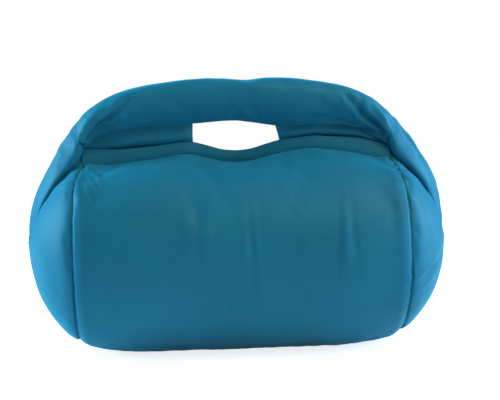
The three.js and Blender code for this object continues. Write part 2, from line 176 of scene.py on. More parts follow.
def tube_piece(name, rings):
    """A closed tube through rings of points, capped by a fan at each end."""
    rings = np.asarray(rings)
    rows, columns = rings.shape[:2]
    points = rings.reshape(-1, 3)
    faces = grid_faces(rows, columns, True)
    first, last = rows * columns, rows * columns + 1
    points = np.vstack([points, rings[0].mean(0), rings[-1].mean(0)])
    for j in range(columns):
        k = (j + 1) % columns
        faces.append((first, k, j))
        faces.append((last, (rows - 1) * columns + j, (rows - 1) * columns + k))
    return outward(mesh_piece(name, points, faces))


def outward(piece):
    """Turns a closed piece's faces outwards."""
    shape = bmesh.new()
    shape.from_mesh(piece.data)
    bmesh.ops.recalc_face_normals(shape, faces=shape.faces)
    shape.to_mesh(piece.data)
    shape.free()
    return piece


def apply_modifiers(piece):
    """Keeps what the modifiers make as the piece's own mesh."""
    shown = piece.evaluated_get(bpy.context.evaluated_depsgraph_get())
    mesh = bpy.data.meshes.new_from_object(shown)
    piece.modifiers.clear()
    old = piece.data
    piece.data = mesh
    mesh.name = piece.name
    bpy.data.meshes.remove(old)
    return piece


def subdivide(piece, levels=1):
    smoother = piece.modifiers.new("smoother", "SUBSURF")
    smoother.levels = smoother.render_levels = levels
    return apply_modifiers(piece)


def thicken(piece, thick_mm=FABRIC):
    """Gives an open skin its thickness, inwards."""
    solid = piece.modifiers.new("thickness", "SOLIDIFY")
    solid.thickness = thick_mm * MM
    solid.offset = -1
    return apply_modifiers(piece)


def coordinates(piece):
    """The piece's points in mm."""
    flat = np.zeros(len(piece.data.vertices) * 3, np.float32)
    piece.data.vertices.foreach_get("co", flat)
    return flat.reshape(-1, 3).astype(float) / MM


def set_coordinates(piece, points):
    piece.data.vertices.foreach_set("co", (points * MM).astype(np.float32).ravel())
    piece.data.update()


def normals(piece):
    flat = np.zeros(len(piece.data.vertices) * 3, np.float32)
    piece.data.vertex_normals.foreach_get("vector", flat)
    return flat.reshape(-1, 3).astype(float)


def soft_noise(points, size, seed):
    """Smooth noise from about -1 to 1 at each point, with lumps of about size mm."""
    shift = Vector((seed * 17.3, seed * 5.1, seed * 9.7))
    return np.array([noise.noise(Vector(p) / size + shift) for p in points])


def crease(points, out, start, end, width, depth, ridge):
    """Pushes the points near a line in by depth, and lifts a ridge beside it, like a pulled fold."""
    start, end = np.array(start, float), np.array(end, float)
    along = (end - start) / np.linalg.norm(end - start)
    away = points - start
    t = np.clip(away @ along / np.linalg.norm(end - start), 0, 1)
    from_line = away - np.outer(away @ along, along)
    beside = np.einsum("ij,ij->i", np.cross(out, along), from_line)
    far = np.linalg.norm(away - np.outer(t * np.linalg.norm(end - start), along), axis=1)
    ends = np.sin(np.pi * np.clip(0.06 + 0.88 * t, 0, 1)) ** 0.7
    valley = -bump(beside, width)
    shoulder = ridge * (bump(beside - 1.7 * width, width) + 0.5 * bump(beside + 1.7 * width, width))
    amount = depth * ends * (valley + shoulder) * bump(np.maximum(far - 3.2 * width, 0), width)
    return points + out * amount[:, None]


EVEN_PASSES = 60  # smoothing passes that leave only the even swelling


def inflate(piece, shape, sewn, slack, cap, frames=20):
    """Swells a stuffed cover by cloth simulation, held where it is sewn, and keeps its slack folds.

    The piece's first points are a grid of the given shape, closed around its columns. The even
    swelling is taken out again, so that the cover keeps the size it was drawn at. slack is how much
    the cloth grows, and cap is the most that a fold may move a point, in mm.
    """
    before = coordinates(piece)
    piece.vertex_groups.new(name="sewn").add([int(i) for i in np.flatnonzero(sewn)], 1.0, "REPLACE")
    cloth = piece.modifiers.new("cloth", "CLOTH")
    fabric = cloth.settings
    fabric.quality = 6
    fabric.vertex_group_mass = "sewn"
    fabric.shrink_min = -slack
    fabric.use_pressure = True
    fabric.uniform_pressure_force = 4
    fabric.tension_stiffness = 15
    fabric.compression_stiffness = 10
    fabric.shear_stiffness = 4
    fabric.bending_stiffness = 0.25
    fabric.effector_weights.gravity = 0
    cloth.collision_settings.use_collision = False
    cloth.point_cache.frame_start = 1
    cloth.point_cache.frame_end = frames
    for moment in range(1, frames + 1):
        bpy.context.scene.frame_set(moment)
    after = simulated_points(piece)
    piece.modifiers.clear()
    piece.vertex_groups.clear()
    bpy.context.scene.frame_set(1)
    shift = after - before
    count = shape[0] * shape[1]
    grid = shift[:count].reshape(*shape, 3)
    even = grid.copy()
    for _ in range(EVEN_PASSES):
        rows = np.concatenate([even[:1], even[:-1]]) + np.concatenate([even[1:], even[-1:]])
        even = (even * 2 + rows + np.roll(even, 1, 1) + np.roll(even, -1, 1)) / 6
    folds = (grid - even).reshape(-1, 3)
    length = np.linalg.norm(folds, axis=1)[:, None] + 1e-9
    before[:count] += folds * cap * np.tanh(length / cap) / length
    set_coordinates(piece, before)


def simulated_points(piece):
    shown = piece.evaluated_get(bpy.context.evaluated_depsgraph_get())
    flat = np.zeros(len(shown.data.vertices) * 3, np.float32)
    shown.data.vertices.foreach_get("co", flat)
    return flat.reshape(-1, 3).astype(float) / MM


# ---------------------------------------------------------------- the roll's surface

# Angles round the roll from its top, in degrees, after the hem's foot; they are close together at
# the hem and at the zip's slot.
HALF_TURN = [
    0, 1.2, 2.6, 4.4, 6.6, 9.2, 12.2, 15.6, 19.2, 23, 27, 31, 35, 39, 43, 47, 51, 55, 59, 63, 67,
    ZIP_ANGLE - SLOT_ANGLE, ZIP_ANGLE, ZIP_ANGLE + SLOT_ANGLE, *range(83, 180, 4),
]
UNDER_HEM = [0, 0.4, 0.75]  # shares of the way from the roll's top to the hem's foot
BARREL_ROWS = [*range(0, 151, 6), 155, 159.5, 163, 166, 168.5, 170.3, 171.3, 172]
DOME_ROWS = [
    0.994, 0.984, 0.97, 0.953, 0.93, 0.9, 0.86, 0.81, 0.755, 0.7, 0.64, 0.58, 0.52, 0.46, 0.4,
    0.34, 0.28, 0.22, 0.165, 0.115, 0.07, 0.035,
]


DOME_LENGTH = 105  # from an end seam to the crown, along the cloth
HEM_REACH = 6.5  # degrees from the top that the hem holds down


def seam_radius(turn):
    """Radius of the end seam at an angle from the top: it rises to a peak at the pinch."""
    return SEAM_RADIUS + 15 * bump(turn, 6.5) + 1.5 * bump(turn, 20)


def seam_x(turn):
    return SEAM_X - (SEAM_X - PINCH_X) * bump(turn, 26)


def barrel_point(x, turn):
    """A point of the centre panels: x along the roll at half height, turn in degrees from the top."""
    share = abs(x) / SEAM_X
    axis_z = MID_AXIS_Z + (SEAM_AXIS_Z - MID_AXIS_Z) * share**6
    foot_y, foot_z = hem_foot_out(x), hem_foot(x) - axis_z
    foot_turn, foot_radius = math.degrees(math.atan2(foot_y, foot_z)), math.hypot(foot_y, foot_z)
    radius = roll_radius(x)
    past = abs(turn) - foot_turn
    if past < 0:
        radius = foot_radius - 5 * min(1, -past / foot_turn * 2)
    else:
        radius += (foot_radius - radius) * bump(past, 13) + 1.6 * (bump(past - 5, 4) - bump(5, 4))
        ends = step(115, 155, abs(x)) * (1 - step(160, 171, abs(x)))
        radius -= 1.2 * bump(past - 8, 13) * ends  # lets the hem's ends show
    radius += (ZIP_RADIUS - radius) * bump(turn + ZIP_ANGLE, 10) * (1 - step(134, 160, abs(x)))
    ending = step(160, 171.5, abs(x))
    radius += (seam_radius(turn) - radius) * ending
    radius += 1.6 * bump(SEAM_X - abs(x) - 9, 7) - 2.4 * bump(SEAM_X - abs(x), 1.1)
    lean = (SEAM_X - seam_x(turn)) * share**8
    return ring_point(math.copysign(abs(x) - lean, x), turn, radius, axis_z)


def dome_point(side, share, turn):
    """A point of an end panel: share is 1 at its seam and 0 at its crown."""
    axis_z = SEAM_AXIS_Z + (CROWN_Z - SEAM_AXIS_Z) * (1 - share) ** 2
    radius = seam_radius(turn) * share
    power = 1.45 + 1.3 * share - 0.85 * share * bump(turn, 35)
    start = seam_x(turn)
    x = start + (END_X - start) * (1 - share**power)
    from_seam = (1 - share) * DOME_LENGTH
    radius += (1.3 * bump(from_seam - 9, 7) - 2.4 * bump(from_seam, 1.1)) * min(1, share * 2)
    radius += 8 * bump(turn, 27) * math.sin(math.pi * min(1, from_seam / 82)) ** 0.6  # up to the lobe
    return ring_point(side * x, turn, radius, axis_z)


def ring_point(x, turn, radius, axis_z):
    angle = math.radians(turn)
    return (x, -radius * math.sin(angle), axis_z + radius * math.cos(angle))


def column_turns(x):
    """The angles of the grid's columns at x, once round from the top over the front."""
    axis_z = MID_AXIS_Z + (SEAM_AXIS_Z - MID_AXIS_Z) * (min(abs(x), SEAM_X) / SEAM_X) ** 6
    foot = math.degrees(math.atan2(hem_foot_out(x), hem_foot(x) - axis_z))
    half = [foot * share for share in UNDER_HEM]
    half += [a + foot * max(0, 1 - a / 40) for a in HALF_TURN]
    return half + [180] + [-a for a in reversed(half[1:])]


def roll_grid():
    """Rows of points from the left crown to the right crown."""
    rows = []
    for share in reversed(DOME_ROWS):
        rows.append([dome_point(-1, share, turn) for turn in column_turns(SEAM_X)])
    for x in [-x for x in reversed(BARREL_ROWS[1:])] + BARREL_ROWS:
        rows.append([barrel_point(x, turn) for turn in column_turns(x)])
    for share in DOME_ROWS:
        rows.append([dome_point(1, share, turn) for turn in column_turns(SEAM_X)])
    rows = np.array(rows)
    rows[:, :, 2] = (rows[:, :, 2] + np.sqrt(rows[:, :, 2] ** 2 + 4)) / 2  # pressed flat at z = 0
    return rows


PANELS = ["end_panel_left", "front_panel", "back_panel", "end_panel_right"]
LEFT_END, FRONT, BACK, RIGHT_END = range(len(PANELS))
SLOT_MARK = len(PANELS)


def panel_of(row, column):
    """Which panel a quad of the roll's grid belongs to; the zip's slot belongs to none."""
    left_seam = len(DOME_ROWS)
    right_seam = left_seam + 2 * (len(BARREL_ROWS) - 1)
    if row < left_seam:
        return LEFT_END
    if row >= right_seam:
        return RIGHT_END
    turns = column_turns(0) + [0]
    middle = (turns[column] + turns[column + 1]) / 2
    places = [-x for x in reversed(BARREL_ROWS[1:])] + BARREL_ROWS
    x = (places[row - left_seam] + places[row - left_seam + 1]) / 2
    if abs(middle + ZIP_ANGLE) < SLOT_ANGLE and abs(x) < SLOT_HALF:
        return SLOT_MARK
    return BACK if -ZIP_ANGLE < middle < 0 else FRONT


def roll_mesh():
    """The whole roll as one closed mesh whose material numbers tell the panels apart."""
    rows = roll_grid()
    count, columns = rows.shape[:2]
    points = np.vstack([rows.reshape(-1, 3), (-END_X, 0, CROWN_Z), (END_X, 0, CROWN_Z)])
    faces = grid_faces(count, columns, True)
    marks = [panel_of(i, j) for i in range(count - 1) for j in range(columns)]
    for j in range(columns):
        k = (j + 1) % columns
        faces.append((len(points) - 2, k, j))
        faces.append((len(points) - 1, (count - 1) * columns + j, (count - 1) * columns + k))
        marks += [LEFT_END, RIGHT_END]
    roll = mesh_piece("roll_skin", points, faces)
    for mark in [*PANELS, "slot"]:
        roll.data.materials.append(bpy.data.materials.new(f"mark_{mark}"))
    roll.data.polygons.foreach_set("material_index", marks)
    return outward(roll)


# Long shallow folds down the front: x, height of their middle, width and depth (below 0 is a dip).
FRONT_FOLDS = (
    (103, 128, 3.4, 1.5), (97, 122, 3, -1.3), (114, 124, 3.4, -1.0), (-2, 128, 3, 0.8), (5, 116, 3, -0.8),
    (12, 122, 3, 0.8), (20, 118, 3, -0.6), (-40, 132, 4, 0.8), (-47, 126, 4, -0.7), (60, 120, 5, 0.5),
    (-100, 130, 7, 0.5),
)


# Short tucks that radiate from the hem's left end: start and end.
TUCKS = (
    ((-156, -27, 195), (-138, -48, 190)),
    ((-157, -30, 194), (-146, -62, 181)),
    ((-159, -33, 193), (-152, -68, 175)),
    ((-161, -36, 191), (-159, -70, 169)),
)
# Folds on the right end panel: start, end, width, depth and ridge.
RIGHT_END_FOLDS = (
    ((181, -84, 78), (199, -55, 96), 4.5, 2.6, 0.9),
    ((179, -62, 164), (186, -70, 138), 5, 1.2, 0.5),
)


def swell_roll(roll):
    """Lets the centre panels and end panels belly between their seams."""
    rows = roll_grid()
    count, columns = rows.shape[:2]
    turns = np.array(column_turns(0))
    turns = np.where(turns > 180, turns - 360, turns)
    across = np.abs(rows[:, 0, 0])
    at_seam = np.abs(across - across[len(DOME_ROWS)]) < 0.6
    at_hem = np.abs(turns) < HEM_REACH
    at_zip = np.abs(turns + ZIP_ANGLE) < SLOT_ANGLE + 5
    sewn = at_seam[:, None] | at_hem[None, :] | (at_zip[None, :] & (across < SLOT_HALF + 8)[:, None])
    sewn |= rows[:, :, 2] < 1.2
    sewn = np.concatenate([sewn.ravel(), [False, False]])
    inflate(roll, (count, columns), sewn, slack=0.018, cap=1.6)


def wrinkle_roll(roll):
    """The pulled folds and puckers of the cover."""
    points, out = coordinates(roll), normals(roll)
    smooth = points.copy()
    front = points[:, 1] < 0
    x, z = points[:, 0], points[:, 2]
    turn = np.degrees(np.arctan2(-points[:, 1], z - SEAM_AXIS_Z))
    # Puckers along the end seams, strongest near the top.
    for side in (-1, 1):
        near = bump(np.abs(x) - seam_x(turn), 7) * (np.sign(x) == side)
        wave = np.sin(np.radians(turn) * SEAM_RADIUS / 1.9 + 5 * soft_noise(points, 22, 3 + side))
        patchy = np.clip(0.5 + soft_noise(points, 30, 21 + side), 0, 1)
        size = 0.35 * patchy + 0.7 * bump(np.abs(turn) - 26, 11) * (side > 0)
        points += out * (near * wave * size)[:, None]
    for at, high, wide, deep in FRONT_FOLDS:
        drift = at + 3 * np.sin(z / 37 + at)
        points += out * (front * deep * bump(x - drift, wide) * bump(z - high, 30))[:, None]
    for start, end in TUCKS:
        points = crease(points, out, start, end, width=2.5, depth=1.9, ridge=0.8)
    for start, end, width, depth, ridge in RIGHT_END_FOLDS:
        points = crease(points, out, start, end, width, depth, ridge)
    points += out * (0.5 * soft_noise(points, 34, 1) + 0.18 * soft_noise(points, 11, 2))[:, None]
    at_zip = bump(turn + ZIP_ANGLE, 9) * (np.abs(x) < SLOT_HALF + 12)
    points += (smooth - points) * at_zip[:, None]
    points[:, 2] = np.maximum(points[:, 2], 0.02)
    set_coordinates(roll, points)


def inner_shape(name, inset):
    """A closed body inside the cover, inset all over."""
    rows = roll_grid()
    count, columns = rows.shape[:2]
    body = tube_piece(name, rows)
    points, out = coordinates(body), normals(body)
    points -= out * inset
    points[:, 2] = np.maximum(points[:, 2], inset)
    set_coordinates(body, points)
    return body


def split_panels(roll):
    """One piece for each panel, cut from the finished skin."""
    pieces = []
    for number, name in enumerate(PANELS):
        panel = new_object(name + "_cover", roll.data.copy())
        panel.data.name = panel.name
        shape = bmesh.new()
        shape.from_mesh(panel.data)
        others = [f for f in shape.faces if f.material_index != number]
        bmesh.ops.delete(shape, geom=others, context="FACES")
        for face in shape.faces:
            face.material_index = 0
        shape.to_mesh(panel.data)
        shape.free()
        panel.data.materials.clear()
        pieces.append(thicken(panel))
    bpy.data.objects.remove(roll)
    return pieces


# ---------------------------------------------------------------- handle roll

HANDLE_RINGS = 72
HANDLE_SIDES = 40
LOBE_SKEW = 0.6  # how much thinner a lobe is on its outer edge
HANDLE_SKEW = -0.65  # the handle is fuller at its top than below

# Pulled folds that fan out from the pinch: start and end as (|x|, |y|, z),
# width, depth and ridge.
LEFT_FOLDS = [
    ((166, 14, 216), (121, 22, 262), 3.3, 7.5, 0.35),
    ((163, 13, 221), (112, 17, 243), 3.6, 5.5, 0.15),
]
RIGHT_FOLDS = [
    ((166, 14, 216), (124, 22, 260), 3.3, 7.5, 0.4),
    ((135, 20, 241), (130, 16, 266), 2.8, 2.4, 0.5),
    ((169, 14, 228), (150, 13, 259), 2.2, 1.4, 0.5),
    ((163, 13, 219), (92, 16, 239), 3.8, 6.5, 0.15),
]


def underside(x):
    """Height of the handle's underside: lower right of the hand hole, pulled up near the left pinch."""
    return handle_under(x) - 4.5 * bump(x - 52, 40) + 6.5 * bump(x + 143, 15)


def section(angle, half, skew):
    """Distance forward of a section's edge; skew makes it thinner at the top (angle 0)."""
    return -math.sin(angle) * half * (1 - skew * math.cos(angle))


def handle_ring(share):
    """A ring of the handle roll: share runs from -1 at its left end to 1 at its right end."""
    top_x, under_x = 171 * share, PINCH_X * share
    top_z, under_z = handle_top(top_x), underside(under_x)
    centre = np.array([(top_x + under_x) / 2, 0, (top_z + under_z) / 2])
    up = np.array([(top_x - under_x) / 2, 0, (top_z - under_z) / 2])
    half_depth = 22 - 5 * abs(share) ** 5
    skew = HANDLE_SKEW + (LOBE_SKEW - HANDLE_SKEW) * abs(share) ** 20  # meets the lobe's section
    ring = []
    for k in range(HANDLE_SIDES):
        angle = 2 * math.pi * k / HANDLE_SIDES
        across = section(angle, half_depth, skew)
        ring.append(centre + up * math.cos(angle) + np.array([0, across, 0]))
    return ring


def handle_roll():
    inner = np.linspace(-0.985, 0.985, HANDLE_RINGS)
    shares = [-1.004, -1.0, -0.995, *inner, 0.995, 1.0, 1.004]
    handle = tube_piece("handle_roll", [handle_ring(s) for s in shares])
    ends = np.abs(np.array(shares)) > 0.97
    under = np.abs(np.arange(HANDLE_SIDES) - HANDLE_SIDES / 2) < 2.5
    sewn = np.concatenate([(ends[:, None] | under[None, :]).ravel(), [True, True]])
    inflate(handle, (len(shares), HANDLE_SIDES), sewn, slack=0.02, cap=1.5)
    handle = subdivide(handle)
    points, out = coordinates(handle), normals(handle)
    for face in (-1, 1):
        for side, folds in ((-1, LEFT_FOLDS), (1, RIGHT_FOLDS)):
            for start, end, width, depth, ridge in folds:
                a = (side * start[0], face * start[1], start[2])
                b = (side * end[0], face * end[1], end[2])
                points = crease(points, out, a, b, width, depth, ridge)
    points += out * (0.5 * soft_noise(points, 26, 5) + 0.2 * soft_noise(points, 9, 6))[:, None]
    set_coordinates(handle, points)
    return handle


# ---------------------------------------------------------------- end lobes

# Rings of a lobe from the handle's end to the crown: outer and inner point as (|x|, z), half width.
LOBE_RINGS = [
    ((171, 244.5), (162, 215.5), 17),
    ((184.5, 228.5), (168.5, 201), 18.5),
    ((198.5, 206), (181.5, 187), 18.5),
    ((210.5, 184.5), (193.5, 173), 17),
    ((218.5, 163.5), (203, 156.5), 14),
    ((222.5, 142), (212, 138), 8.5),
    ((224.6, 125), (220.5, 123), 5),
    ((224.8, 115), (222.5, 114), 2.2),
]
LOBE_SIDES = 28
LOBE_DEPTH = 40  # roughly a lobe's depth from outer to inner edge; scales how far it bulges


def spline(values, t):
    """A Catmull-Rom curve through equally spaced values."""
    values = np.asarray(values, float)
    last = len(values) - 1
    i = min(int(t * last), last - 1)
    u = t * last - i
    p0, p1, p2, p3 = values[max(i - 1, 0)], values[i], values[i + 1], values[min(i + 2, last)]
    return 0.5 * (
        2 * p1 + (p2 - p0) * u + (2 * p0 - 5 * p1 + 4 * p2 - p3) * u**2 + (3 * p1 - p0 - 3 * p2 + p3) * u**3
    )


def lobe(side):
    outer, inner, widths = zip(*LOBE_RINGS)
    rings = []
    for t in [0, 0.003, 0.008, *np.linspace(0.02, 1, 44)]:
        (ox, oz), (ix, iz), half = spline(outer, t), spline(inner, t), float(spline(widths, t))
        centre = np.array([(ox + ix) / 2, 0, (oz + iz) / 2])
        up = np.array([(ox - ix) / 2, 0, (oz - iz) / 2])
        # The right lobe bulges and the left one is drawn in.
        fuller = 4.5 * bump(t - 0.45, 0.25) if side > 0 else -2.8 * bump(t - 0.4, 0.3)
        centre, up = centre + up * fuller / LOBE_DEPTH, up * (1 + fuller / LOBE_DEPTH)
        ring = []
        for k in range(LOBE_SIDES):
            angle = 2 * math.pi * k / LOBE_SIDES
            skew = LOBE_SKEW + 0.3 * step(0, 0.5, t)  # slopes the face outwards
            point = centre + up * math.cos(angle) + np.array([0, section(angle, half, skew), 0])
            ring.append(point * (side, 1, 1))
        rings.append(ring)
    name = "end_lobe_right_cover" if side > 0 else "end_lobe_left_cover"
    piece = tube_piece(name, rings)
    row = np.arange(len(rings))
    inner = np.abs(np.arange(LOBE_SIDES) - LOBE_SIDES / 2) < 2.5
    sewn = ((row < 5) | (row > len(rings) - 5))[:, None] | inner[None, :]
    sewn = np.concatenate([sewn.ravel(), [True, True]])
    inflate(piece, (len(rings), LOBE_SIDES), sewn, slack=0.02, cap=0.8)
    piece = subdivide(piece)
    points, out = coordinates(piece), normals(piece)
    if side > 0:
        points = crease(points, out, (176, -8, 232), (214, -8, 180), 2.6, 1.6, 0.5)
    points += out * (0.35 * soft_noise(points, 24, 8 + side))[:, None]
    set_coordinates(piece, points)
    return piece


# ---------------------------------------------------------------- web and hems


def web_layer(face, side):
    """One layer of the web beside the hand hole; face is -1 at the front and 1 at the back."""
    across, down = 34, 20
    rows = []
    for x in np.linspace(HOLE_HALF, PINCH_X, across):
        edge = step(HOLE_HALF, HOLE_HALF + 9, x)  # the two layers are sewn together at the hole
        gap = bump(x - 108, 30 if side > 0 else 24)  # where the layer stands clear of the hem
        near_pinch = step(118, 158, x)
        top, foot, hem = underside(side * x) + 5, hem_foot(side * x) - 3, hem_top(side * x)
        row = []
        for t in np.linspace(0, 1, down):
            z = top + (foot - top) * t
            behind = step(-8, 2, hem - z)
            fallen = min(1, (top - z) / (top - hem))
            swell = math.sin(math.pi * fallen**1.8)
            drawn_in = 1 - 0.9 * bump(fallen, 0.5) * (1 - behind)
            stand = hem_top_out(x) - 3.6 - 3.6 * gap * behind - 3.5 * near_pinch * (1 - behind)
            y = 1.2 + edge * drawn_in * stand
            y += 5.0 * edge * swell * (1 - 0.8 * near_pinch)
            # The hand hole's right edge slants.
            lean = 5 * (side > 0) * max(0, 1 - (x - HOLE_HALF) / 30) * (1 - fallen)
            row.append((side * (x - lean), face * max(y, 0.9), z))
        rows.append(row)
    rows = np.array(rows)
    names = {-1: ("front", "left"), 1: ("back", "right")}
    piece = mesh_piece(
        f"web_{names[face][0]}_{names[side][1]}_layer", rows.reshape(-1, 3), grid_faces(across, down, False),
    )
    point_faces(piece, face)
    return subdivide(thicken(piece))


def point_faces(piece, face):
    """Turns an open sheet's faces to the front (-1) or the back (1)."""
    if sum(p.normal.y for p in piece.data.polygons) * face < 0:
        piece.data.flip_normals()


# Section of the hem: share of its height, and side from -1 (web) to 1 (outside).
HEM_SECTION = [
    (-0.1, 0.9), (0.1, 1), (0.35, 1), (0.62, 1), (0.86, 1), (0.96, 0.85), (1, 0.3), (1, -0.3),
    (0.96, -0.85), (0.86, -1), (0.6, -1), (0.3, -1), (0, -1), (-0.1, -0.9),
]


def hem_band(face):
    """The folded strip along the web's foot."""
    stations = 110
    half_thick = 1.3
    rings = []
    reach = PINCH_X + 2
    for x in [-reach, 0.3 - reach, *np.linspace(1 - reach, reach - 1, stations), reach - 0.3, reach]:
        foot = np.array([x, hem_foot_out(x) - 1.0, hem_foot(x) - 2.5])
        top = np.array([x, hem_top_out(x), hem_top(x)])
        up = (top - foot) / np.linalg.norm(top - foot)
        out = np.array([0, up[2], -up[1]])
        ring = []
        length = np.linalg.norm(top - foot)
        for along, thick in HEM_SECTION:
            belly = 1.6 * math.sin(math.pi * np.clip(along, 0, 1))
            point = foot + up * (along * length) + out * (thick * half_thick + belly)
            ring.append(point * (1, face, 1))
        rings.append(ring)
    piece = tube_piece("hem_band_front_strip" if face < 0 else "hem_band_back_strip", rings)
    points, out = coordinates(piece), normals(piece)
    points += out * (0.25 * soft_noise(points, 16, 12 + face))[:, None]
    set_coordinates(piece, points)
    return subdivide(piece)


# ---------------------------------------------------------------- zip, stitching and label


def zip_point(x, across, out):
    """A point in the zip's frame: across is down the back from the zip's middle, out is off the roll."""
    angle = math.radians(ZIP_ANGLE)
    normal = np.array([0, math.sin(angle), math.cos(angle)])
    down = np.array([0, math.cos(angle), -math.sin(angle)])
    centre = np.array([x, 0, MID_AXIS_Z]) + normal * ZIP_RADIUS
    return centre + down * across + normal * out


def wire(points, radius, sides=6):
    """Rings of a round wire along a path of points."""
    points = np.asarray(points)
    along = np.gradient(points, axis=0)
    along /= np.linalg.norm(along, axis=1)[:, None]
    rings = []
    for point, direction in zip(points, along):
        first = np.cross(direction, (0.3, 0.2, 1.0))
        first /= np.linalg.norm(first)
        second = np.cross(direction, first)
        turns = 2 * np.pi * np.arange(sides) / sides
        rings.append(point + radius * (np.outer(np.cos(turns), first) + np.outer(np.sin(turns), second)))
    return rings


def zip_coil(side):
    """A nylon coil: flattened turns whose heads mesh with the other side's at the middle."""
    pitch, per_turn = 2.0, 12
    turns = int(2 * ZIP_HALF / pitch) - 1
    path = []
    for k in range(turns * per_turn + 1):
        angle = 2 * math.pi * k / per_turn
        x = -ZIP_HALF + 0.7 + pitch * k / per_turn + (pitch / 2 if side > 0 else 0)
        across = 1.2 - 1.25 * math.copysign(abs(math.cos(angle)) ** 0.7, math.cos(angle))
        path.append(zip_point(x, side * across, 0.9 + 0.5 * math.sin(angle)))
    return tube_piece("zip_coil_lower_teeth" if side > 0 else "zip_coil_upper_teeth", wire(path, 0.3, 5))


def joined(name, parts):
    """One piece from several closed meshes of (points, faces)."""
    points, faces = [], []
    for part_points, part_faces in parts:
        faces += [tuple(i + len(points) for i in face) for face in part_faces]
        points += list(part_points)
    return outward(mesh_piece(name, points, faces))


def stitch(start, end, normal, thick=0.38):
    """One stitch of thread, a little arched and sunk at its ends."""
    path = []
    for t in np.linspace(0, 1, 6):
        arch = 0.75 * math.sin(math.pi * t) - 0.3
        path.append(np.asarray(start) * (1 - t) + np.asarray(end) * t + normal * arch)
    rings = np.array(wire(path, thick, 6))
    faces = grid_faces(len(path), 6, True)
    last = (len(path) - 1) * 6
    faces += [tuple(range(5, -1, -1)), tuple(range(last, last + 6))]
    return rings.reshape(-1, 3), faces


def zip_stitching():
    """A row of thread on each side of the zip and a bar across each end."""
    normal = zip_point(0, 0, 1) - zip_point(0, 0, 0)
    parts = []
    pitch, long, reach = 3.4, 2.7, SLOT_HALF + 2
    for across in (-10.2, 10.2):
        lift = -0.45
        for i in range(int(2 * reach / pitch)):
            x = -reach + i * pitch
            parts.append(stitch(zip_point(x, across, lift), zip_point(x + long, across, lift), normal))
    for x in (-reach - 1.6, reach + 1.6):
        for i in range(6):
            across = -10 + i * pitch
            parts.append(stitch(zip_point(x, across, -0.2), zip_point(x, across + long, -0.2), normal))
    return joined("zip_stitching", parts)


def softened(node_name, name, width_mm, segments=2):
    """A copy of a CAD node with its edges rounded."""
    source = bpy.data.objects[node_name]
    piece = new_object(name, source.data.copy())
    piece.data.transform(source.matrix_world)
    shape = bmesh.new()
    shape.from_mesh(piece.data)
    bmesh.ops.remove_doubles(shape, verts=shape.verts, dist=1e-6)
    bmesh.ops.dissolve_limit(shape, angle_limit=math.radians(1), verts=shape.verts, edges=shape.edges)
    shape.to_mesh(piece.data)
    shape.free()
    round_off = piece.modifiers.new("round", "BEVEL")
    round_off.width = width_mm * MM
    round_off.segments = segments
    round_off.limit_method = "ANGLE"
    round_off.angle_limit = math.radians(35)
    apply_modifiers(piece)
    for face in piece.data.polygons:
        face.use_smooth = True
    return piece


def care_label():
    """A blank folded tape that lies on the right end panel, its root caught in the seam."""
    long, half_wide, steps, across_steps = 21, 12, 14, 8
    rows = []
    for t in np.linspace(0, 1, steps):
        row = []
        for w in np.linspace(-1, 1, across_steps):
            turn = -118 + math.degrees(w * half_wide / SEAM_RADIUS)
            share = 1 - (t * long - 1) / DOME_LENGTH
            surface = np.array(dome_point(1, min(share, 1), turn))
            out = surface - np.array([150, 0, SEAM_AXIS_Z])
            out /= np.linalg.norm(out)
            row.append(surface + out * (1.1 + 1.8 * t * t))
        rows.append(row)
    faces = grid_faces(steps, across_steps, False)
    label = mesh_piece("care_label_tape", np.array(rows).reshape(-1, 3), faces)
    middle = label.data.polygons[len(label.data.polygons) // 2]
    if middle.normal.dot(Vector((1, 1, -0.6))) < 0:
        label.data.flip_normals()
    return subdivide(thicken(label, 0.5))


# ---------------------------------------------------------------- materials


def node(tree, kind, at, **settings):
    made = tree.nodes.new(kind)
    made.location = at
    for name, value in settings.items():
        if name in made.inputs:
            made.inputs[name].default_value = value
        else:
            setattr(made, name, value)
    return made


